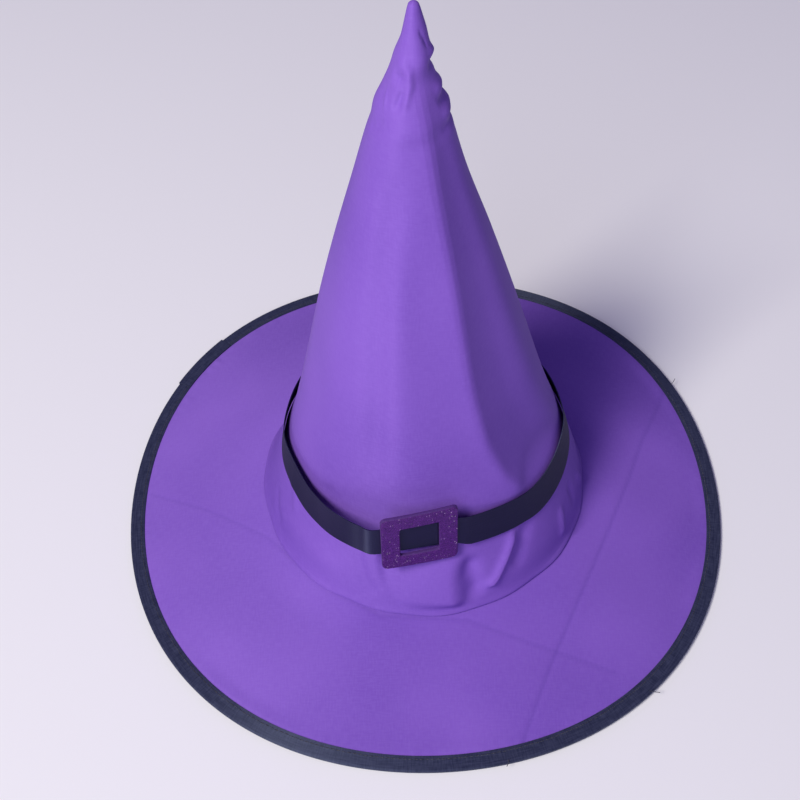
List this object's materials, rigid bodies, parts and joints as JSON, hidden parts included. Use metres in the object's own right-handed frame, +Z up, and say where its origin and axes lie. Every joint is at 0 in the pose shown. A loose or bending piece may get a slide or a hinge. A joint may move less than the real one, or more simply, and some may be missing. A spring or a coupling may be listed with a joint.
{
  "type": "witch hat",
  "caption": "Pointed cloth witch hat with a wide bound brim on a hidden wire, a loose ribbon band, a glitter buckle and a soft point that flops.",
  "frame": {"origin": "on the crown's axis, in the plane that the brim's edge rests on", "axes": "+Z up along the crown's axis to the point, -Y towards the buckle, +Y towards the crown's back seam"},
  "size_m": [0.3799, 0.38, 0.36],
  "materials": {
    "purple_taffeta": "polyester taffeta, low satin sheen",
    "liner_nonwoven": "white non-woven liner, matt",
    "brim_foam": "thin foam and non-woven sheet, matt",
    "navy_satin": "black-navy satin tape and ribbon, soft gloss",
    "spring_steel": "bare drawn wire",
    "ferrule_metal": "crimped sleeve",
    "cotton_tape": "woven tape, matt",
    "sewing_thread": "polyester thread",
    "buckle_foam": "EVA foam sheet, cut edges",
    "buckle_glitter": "glitter film",
    "hot_glue": "set hot glue"
  },
  "bodies": {
    "hat": {"crown_shell": "purple_taffeta", "crown_neck": "purple_taffeta", "crown_stiffener": "liner_nonwoven", "crown_seam_allowance": "purple_taffeta", "brim_top": "purple_taffeta", "brim_core": "brim_foam", "brim_underside": "purple_taffeta", "brim_wire": "spring_steel", "wire_ferrule": "ferrule_metal", "brim_binding": "navy_satin", "binding_lap": "navy_satin", "binding_topstitch": "sewing_thread", "sweatband": "cotton_tape", "sweatband_lap": "cotton_tape", "opening_stitch": "sewing_thread"},
    "hat_band": {"ribbon_band": "navy_satin", "ribbon_lap": "navy_satin", "buckle_frame": "buckle_foam", "buckle_glitter": "buckle_glitter", "buckle_glue": "hot_glue"},
    "tip": {"crown_tip": "purple_taffeta"}
  },
  "joints": [
    {"name": "band_lift", "type": "slide", "parent": "hat", "child": "hat_band", "axis": [0, 0, 1], "range_m": [0, 0.315]},
    {"name": "tip_flop", "type": "hinge", "parent": "hat", "child": "tip", "pos_m": [0, 0, 0.313], "axis": [0, 1, 0], "range_deg": [-75, 75], "deforming": ["crown_neck"]}
  ]
}
